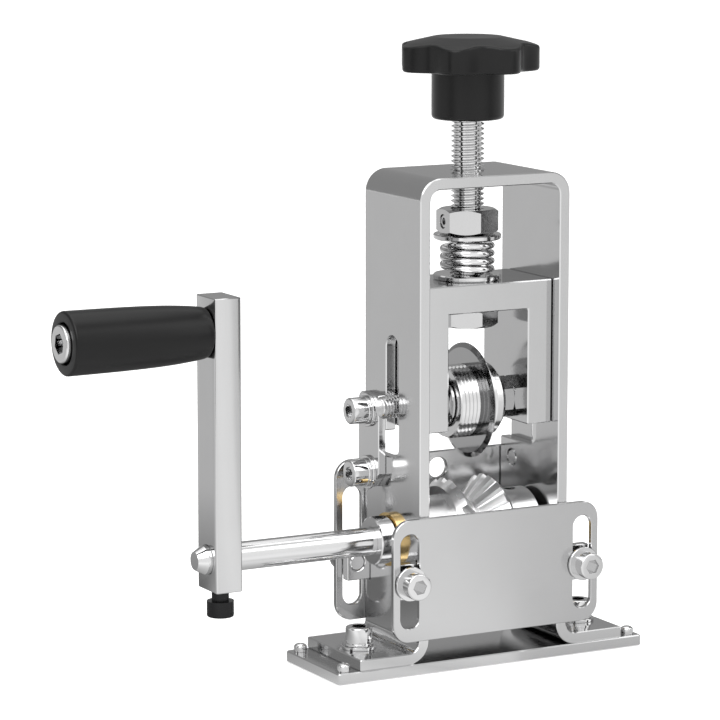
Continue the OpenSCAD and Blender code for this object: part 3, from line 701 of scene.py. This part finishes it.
# Blade axle, cutting disc and sleeves
# An M8 steel axle, threaded from end to end, carries the hardened cutting disc between two ridged
# sleeves. It is held in the slider block by its nuts.
def thread(crest_r, depth, pitch, start, end, chamfer, columns):
    """A bmesh of a bar along +Z with a real helical thread. Its crests lie at crest_r."""
    # A share of a turn, and how deep the groove is there.
    groove = ((0.0, 0.0), (0.125, 0.0), (0.4375, depth), (0.6875, depth), (1.0, 0.0))
    shares = [share for share, sunk in groove]
    turns = math.ceil((end - start) / pitch) + 2

    def radius(z, column):
        share = ((z - start) / pitch - column / columns) % 1.0
        sunk = float(np.interp(share, shares, [sunk for share, sunk in groove]))
        to_end = min(z - start, end - z)
        return min(crest_r - sunk, crest_r - chamfer + to_end)

    bm = bmesh.new()
    rows = []
    for turn in range(-1, turns):
        for share in shares[:-1]:
            row = []
            for c in range(columns):
                z = start + pitch * (turn + share + c / columns)
                z = min(max(z, start), end)
                a, r = 2 * math.pi * c / columns, radius(z, c)
                row.append(bm.verts.new((r * math.cos(a), r * math.sin(a), z)))
            rows.append(row)
    step = len(shares) - 1
    for i in range(len(rows) - 1):
        for c in range(columns):
            if c < columns - 1:
                right, right_up = rows[i][c + 1], rows[i + 1][c + 1]
            elif i + 1 + step < len(rows):
                right, right_up = rows[i + step][0], rows[i + 1 + step][0]
            else:
                continue
            bm.faces.new((rows[i][c], right, right_up, rows[i + 1][c]))
    bmesh.ops.remove_doubles(bm, verts=bm.verts, dist=1e-7)
    bmesh.ops.holes_fill(bm, edges=[e for e in bm.edges if e.is_boundary], sides=0)
    return bm


low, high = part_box("blade_axle")
axle_z = (low.z + high.z) / 2
axle_steel = steel(
    "axle_steel",
    tint=(0.66, 0.66, 0.662),
    roughness=0.17,
    lines=round_x(axle_z, 900),
    line_depth=0.000001,
)
bm = thread(
    crest_r=0.004,
    depth=0.00077,
    pitch=0.00125,
    start=low.x,
    end=high.x,
    chamfer=0.0009,
    columns=56,
)
along_x = Matrix.Rotation(math.pi / 2, 3, "Y")
bmesh.ops.rotate(bm, verts=bm.verts, cent=(0, 0, 0), matrix=along_x)
bmesh.ops.translate(bm, verts=bm.verts, vec=(0, 0, axle_z))
finished("blade_axle_look", bm, axle_steel, "slider_body", ["blade_axle"])

sleeve_steel = steel(
    "sleeve_steel",
    tint=(0.66, 0.66, 0.662),
    roughness=0.16,
    lines=round_x(axle_z, 1500),
    line_depth=0.000001,
)
disc_steel = steel(
    "disc_steel",
    tint=(0.42, 0.42, 0.422),
    roughness=0.1,
    lines=round_x(axle_z, 2200),
)
paint(sleeve_steel, "left_sleeve", "right_sleeve")
paint(disc_steel, "cutting_disc")


# Adjuster rod, washers and spring
# An M12 steel rod with a coarse thread from end to end, and a short spring of round steel wire
# between two turned washers. The spring pushes the slider block down.
def round_z(fine):
    """Turning lines round the z axis. fine is the lines' number in a metre."""

    def lines(here):
        xyz = here.node("ShaderNodeSeparateXYZ", {0: here})
        away = (xyz * xyz + xyz.part(1) * xyz.part(1)) ** 0.5
        return here.node("ShaderNodeCombineXYZ", {0: xyz.part(2) * fine, 1: away * fine})

    return lines


rod_steel = steel("rod_steel", tint=(0.68, 0.68, 0.682), roughness=0.11, lines=round_z(900))
low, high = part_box("adjuster_rod")
bm = thread(
    crest_r=0.00585,
    depth=0.00105,
    pitch=0.00175,
    start=low.z,
    end=high.z,
    chamfer=0.001,
    columns=64,
)
finished("adjuster_rod_look", bm, rod_steel, "knob_body", ["adjuster_rod"])
washer_steel = steel(
    "washer_steel", tint=(0.68, 0.68, 0.682), roughness=0.12, lines=round_z(1500)
)
paint(washer_steel, "upper_washer", "lower_washer")


def coil(given):
    """Round wire wound into a coil that stands on a height."""
    line = given.node(
        "GeometryNodeCurveSpiral",
        {
            "Resolution": 64,
            "Rotations": given.part("Turns"),
            "Start Radius": given.part("Coil radius"),
            "End Radius": given.part("Coil radius"),
            "Height": given.part("Rise"),
        },
    )
    ring = given.node(
        "GeometryNodeCurvePrimitiveCircle",
        {"Resolution": 20, "Radius": given.part("Wire radius")},
    )
    tube = given.node(
        "GeometryNodeCurveToMesh",
        {"Curve": line, "Profile Curve": ring, "Fill Caps": True},
    )
    return lifted(tube, given.part("Bottom"))


wire_steel = steel(
    "wire_steel",
    tint=(0.72, 0.72, 0.722),
    roughness=0.12,
    lines=straight(0.0007, 0.0007, 0.0007),
)
low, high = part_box("spring")
wire_r, spring_r, spring_turns, spring_travel = 0.0012, 0.00975, 3.4, 0.0016
spring = grown(
    "spring_look",
    {
        "Turns": ("NodeSocketFloat", spring_turns),
        "Coil radius": ("NodeSocketFloat", spring_r - wire_r),
        "Rise": ("NodeSocketFloat", high.z - low.z - 2 * wire_r),
        "Wire radius": ("NodeSocketFloat", wire_r),
        "Bottom": ("NodeSocketFloat", low.z + wire_r),
    },
    coil,
    wire_steel,
    "lift_body",
    ["spring"],
)
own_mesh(spring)


# Star knob
# Black moulded plastic on the rod's upper end: a round hub, seven rounded lobes and a gently domed
# top with a flat centre.
def plastic(name, tint, roughness):
    """Moulded plastic with a fine spark-eroded skin and faint handling marks."""
    material, shader = blank(name)
    shader.inputs["Specular IOR Level"].default_value = 0.22
    here = Wire(material.node_tree).node("ShaderNodeTexCoord", out="Object")
    pits = here.node("ShaderNodeTexNoise", {"Vector": here, "Scale": 2600.0, "Detail": 3.0})
    cloud = here.node("ShaderNodeTexNoise", {"Vector": here, "Scale": 60.0, "Detail": 4.0})
    dark = [c * 0.8 for c in tint] + [1.0]
    bright = [c * 1.3 for c in tint] + [1.0]
    cloud.between(dark, bright).feeds(shader, "Base Color")
    uneven = 0.12
    (roughness + (cloud - 0.5) * uneven).feeds(shader, "Roughness")
    pitted = here.node(
        "ShaderNodeBump", {"Height": pits, "Strength": 0.3, "Distance": 0.00002}
    )
    pitted.feeds(shader, "Normal")
    return material


knob_black = plastic("knob_black", (0.006, 0.006, 0.0061), 0.33)
knob_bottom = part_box("adjuster_knob")[0].z
knob_r, lobe_depth, lobes, first_lobe = 0.025, 0.004, 7, math.radians(23)
hub_r, hub_h, hub_edge, hub_fillet = 0.01275, 0.0169, 0.0015, 0.0012
bore_r, bore_mouth_r, bore_h, bore_edge = 0.00592, 0.0064, 0.006, 0.0005
rim_h, rim_edge = 0.0086, 0.0012
top_h = hub_h + rim_h
flat_r, flat_edge, centre_r = 0.0122, 0.0006, 0.003
shoulder_r, shoulder_h, dome_h = 0.0209, 0.00132, 0.0033


def outline(angle):
    """Distance of the lobed outline from the knob's axis."""
    return knob_r - lobe_depth * (1 - math.cos(lobes * (angle - first_lobe))) / 2


def crown(radius):
    """Height of the knob's top above its rim at a distance from its axis."""
    return float(np.interp(radius, [flat_r, shoulder_r, knob_r], [dome_h, shoulder_h, 0.0]))


bm = bmesh.new()
rings = []


def knob_ring(place, columns=lobes * 26):
    """Adds a ring. place gives the radius and the height over the hub's underside at an angle."""
    ring = []
    for c in range(columns):
        angle = 2 * math.pi * c / columns
        r, h = place(angle)
        ring.append(bm.verts.new((r * math.cos(angle), r * math.sin(angle), knob_bottom + h)))
    rings.append(ring)


def round_ring(radius, height):
    """Adds a plain round ring."""
    knob_ring(lambda angle: (radius, height))


def dome_ring(share):
    """Adds a ring of the domed top, at a share of the way from the rim to the flat centre."""

    def place(angle):
        r = (outline(angle) - rim_edge) * (1 - share) + flat_r * share
        return r, top_h + crown(r)

    knob_ring(place)


round_ring(bore_r, bore_h)
round_ring(bore_r, bore_edge)
round_ring(bore_mouth_r, 0.0)
for rise, inset in quarter(hub_edge):
    round_ring(hub_r - inset, rise)
round_ring(hub_r, hub_h - hub_fillet)
round_ring(hub_r + hub_fillet / 4, hub_h - hub_fillet / 4)
round_ring(hub_r + hub_fillet, hub_h)
for rise, inset in quarter(rim_edge):
    knob_ring(lambda a: (outline(a) - inset, hub_h + rise))
for inset, drop in quarter(rim_edge, 5):
    knob_ring(lambda a: (outline(a) - inset, top_h + crown(outline(a) - rim_edge) - drop))
for t in range(1, 9):
    dome_ring(t / 8)
round_ring(flat_r - flat_edge, top_h + dome_h)
round_ring(centre_r, top_h + dome_h)
skin(bm, rings)
finished("adjuster_knob_look", bm, knob_black, "knob_body", ["adjuster_knob"], 40)


# Handle grip
# Black moulded plastic that swells from the arm to its free end, with a round recess for the head of
# the bolt that it spins on.
grip_black = plastic("grip_black", (0.005, 0.005, 0.0051), 0.3)
low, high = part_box("handle_grip")
grip_z = (low.z + high.z) / 2
grip_l = high.x - low.x
grip_edge, bolt_hole_r = 0.0009, 0.0041
recess_r, recess_depth, recess_edge = 0.0072, 0.0067, 0.0003
# A share of the length from the arm, and the radius there.
swell = (
    (0.0, 0.00865),
    (0.05, 0.00916),
    (0.11, 0.00953),
    (0.17, 0.00983),
    (0.24, 0.01013),
    (0.34, 0.01043),
    (0.45, 0.01063),
    (0.6, 0.01082),
    (0.8, 0.01093),
    (1.0, 0.011),
)
spots = [i / 40 for i in range(41)]
radii = np.interp(spots, [share for share, r in swell], [r for share, r in swell])
smoothing = [0.1, 0.2, 0.4, 0.2, 0.1]
radii = np.convolve(np.pad(radii, 2, mode="edge"), smoothing, "valid")
profile = [(bolt_hole_r, 0.0)]
profile += [(radii[0] - inset, along) for along, inset in quarter(grip_edge)]
profile += [
    (r, share * grip_l)
    for r, share in zip(radii, spots)
    if grip_edge < share * grip_l < grip_l - grip_edge
]
profile += [(radii[-1] - inset, grip_l - back) for inset, back in quarter(grip_edge)]
profile += [
    (recess_r + recess_edge, grip_l),
    (recess_r, grip_l - recess_edge),
    (recess_r, grip_l - recess_depth),
    (bolt_hole_r, grip_l - recess_depth),
    (bolt_hole_r, 0.0),
]
profile = [(r, high.x - along) for r, along in profile]
bm = turned(profile, 96, "X", (0, 0, grip_z))
bmesh.ops.remove_doubles(bm, verts=bm.verts, dist=1e-7)
finished("handle_grip_look", bm, grip_black, "grip_body", ["handle_grip"], 40)


# Studio
# A pale floor under soft white light from all round. Polished steel shows what stands round it, so a
# sheet that only mirrors see holds a painted reflection of the floor, toned by direction with a patch
# of painted shade, and two narrow dark cards that only mirrors see paint its dark streaks as painted
# reflection.
scene.view_settings.view_transform = "Standard"


def matt(name, tone):
    """Dull paint of one grey, and its shader."""
    material, shader = blank(name)
    shader.inputs["Base Color"].default_value = (tone, tone, tone, 1)
    shader.inputs["Roughness"].default_value = 1.0
    shader.inputs["Specular IOR Level"].default_value = 0.0
    material.cycles.emission_sampling = "NONE"
    return material, shader


def sheet(name, material, matrix, size=1):
    """A flat stage piece."""
    bpy.ops.mesh.primitive_plane_add(size=size)
    piece = bpy.context.object
    piece.name = name
    piece.data.transform(matrix)
    piece.data.materials.append(material)
    return piece


def mirrored_only(piece):
    """Hides a stage piece from all but mirrors."""
    piece.visible_camera = False
    piece.visible_diffuse = False
    piece.visible_shadow = False


floor_paint, shader = matt("floor_paint", 0.85)
shader.inputs["Emission Color"].default_value = (1, 1, 1, 1)
shader.inputs["Emission Strength"].default_value = 0.4
sheet("floor", floor_paint, Matrix.Translation((0, 0, -0.0002)), 24)

# An azimuth in degrees, and the grey of the painted reflection of the floor in that direction.
painted_reflection_tones = (
    (180, 0.5),
    (203, 0.64),
    (218, 0.64),
    (232, 0.54),
    (270, 0.6),
    (292, 0.57),
    (297, 0.52),
    (301, 0.46),
    (311, 0.42),
    (353, 0.36),
    (400, 0.52),
    (432, 0.58),
    (460, 0.36),
    (497, 0.335),
    (522, 0.48),
    (540, 0.5),
)
# Painted reflection: a glowing sheet that only mirrors see shows the steel a floor toned by direction,
# though the real floor is evenly pale.
painted_reflection, shader = matt("painted_reflection_paint", 0.0)
here = Wire(painted_reflection.node_tree).node("ShaderNodeTexCoord", out="Object")
xyz = here.node("ShaderNodeSeparateXYZ", {0: here})
angle = here.maths("ARCTAN2", xyz.part(1), xyz) * (0.5 / math.pi) + 0.5
tone = here.node(
    "ShaderNodeValToRGB",
    {0: angle},
    stops=[((azimuth - 180) / 360, grey) for azimuth, grey in painted_reflection_tones],
)
# Painted shade: the reflected floor is darker in a round patch behind and left of the piece.
patch_x, patch_y, patch_inner, patch_outer = -0.1, 0.13, 0.04, 0.24
away_x, away_y = xyz - patch_x, xyz.part(1) - patch_y
painted_shade = here.node(
    "ShaderNodeMapRange",
    {
        "Value": (away_x * away_x + away_y * away_y) ** 0.5,
        "From Min": patch_inner,
        "From Max": patch_outer,
        "To Min": 0.3,
        "To Max": 1.0,
    },
)
(tone * painted_shade).feeds(shader, "Emission Color")
shader.inputs["Emission Strength"].default_value = 2.0
mirrored_only(sheet("toned_floor", painted_reflection, Matrix.Translation((0, 0, 0.0003)), 12))

# Painted reflection: two narrow dark sheets that only mirrors see paint dark streaks on the round
# steel.
card_paint, _ = matt("card_paint", 0.02)
card_distance, card_h = 0.6, 0.5
for name, azimuth, width in (("left_card", 188, 0.2), ("right_card", 318, 0.16)):
    turn = math.radians(azimuth)
    place = (card_distance * math.cos(turn), card_distance * math.sin(turn), card_h / 2)
    matrix = (
        Matrix.Translation(place)
        @ Matrix.Rotation(turn, 4, "Z")
        @ Matrix.Rotation(math.pi / 2, 4, "Y")
        @ Matrix.Diagonal((card_h, width, 1, 1))
    )
    mirrored_only(sheet(name, card_paint, matrix))

world = bpy.data.worlds.new("studio")
scene.world = world
world.use_nodes = True
here = Wire(world.node_tree).node("ShaderNodeTexCoord", out="Generated")
xyz = here.node("ShaderNodeSeparateXYZ", {0: here})
# The sky is darker towards the rear right, at 60 degrees from the x axis, but bright overhead.
rear = xyz * 0.5 + xyz.part(1) * 0.866
low_sky = here.node(
    "ShaderNodeMapRange",
    {"Value": rear, "From Min": -0.3, "From Max": 0.3, "To Min": 1.1, "To Max": 0.34},
)
high_share = here.node(
    "ShaderNodeMapRange", {"Value": xyz.part(2), "From Min": 0.84, "From Max": 0.95}
)
sky = low_sky * (1.0 - high_share) + high_share * 1.6
sky.feeds(world.node_tree.nodes["Background"], "Color")


def aimed(name, data, place, target):
    """A lamp or a camera at a place, turned towards a target."""
    piece = bpy.data.objects.new(name, data)
    piece.location = place
    aim = Vector(target) - Vector(place)
    piece.rotation_euler = aim.to_track_quat("-Z", "Y").to_euler()
    scene.collection.objects.link(piece)
    return piece


for name, place, size, power in (
    ("key", (-0.9, -0.9, 1.5), 1.5, 19),
    ("fill", (1.2, -0.8, 0.9), 1.4, 8),
    ("top", (0.1, 0.5, 1.7), 1.8, 8),
):
    light = bpy.data.lights.new(name, "AREA")
    light.energy = power
    light.size = size
    aimed(name, light, place, (0.0, 0.0, 0.1))

camera_data = bpy.data.cameras.new("camera")
camera_data.lens = 178.36
camera_data.sensor_width = 36
eye, looks_at = (-0.62394, -1.07773, 0.30916), (-0.042797, 0.0, 0.109748)
scene.camera = aimed("camera", camera_data, eye, looks_at)
